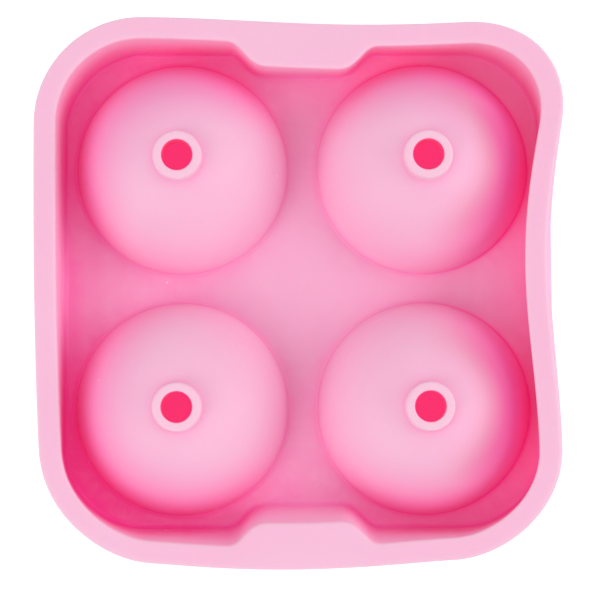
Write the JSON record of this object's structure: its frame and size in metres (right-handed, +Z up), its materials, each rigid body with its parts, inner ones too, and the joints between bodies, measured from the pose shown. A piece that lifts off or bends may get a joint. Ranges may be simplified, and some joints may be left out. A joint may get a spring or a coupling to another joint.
{
  "type": "silicone ice ball mould",
  "caption": "Square two-piece silicone mould for round ice: a lid with filling nozzles and finger grips lifts off a base with matching bowls.",
  "frame": {"origin": "on the table, under the centre of the base", "axes": "+X to the right in the picture, +Y to its top, which is the back, and +Z up, the way the lid lifts off"},
  "size_m": [0.1212, 0.1242, 0.0529],
  "materials": {
    "silicone": "satin, slightly translucent pink silicone"
  },
  "bodies": {
    "base": {"base": "silicone"},
    "lid": {"lid": "silicone"}
  },
  "joints": [
    {"name": "lid_lift", "type": "slide", "parent": "base", "child": "lid", "axis": [0, 0, 1], "range_m": [0, 0.06]}
  ]
}
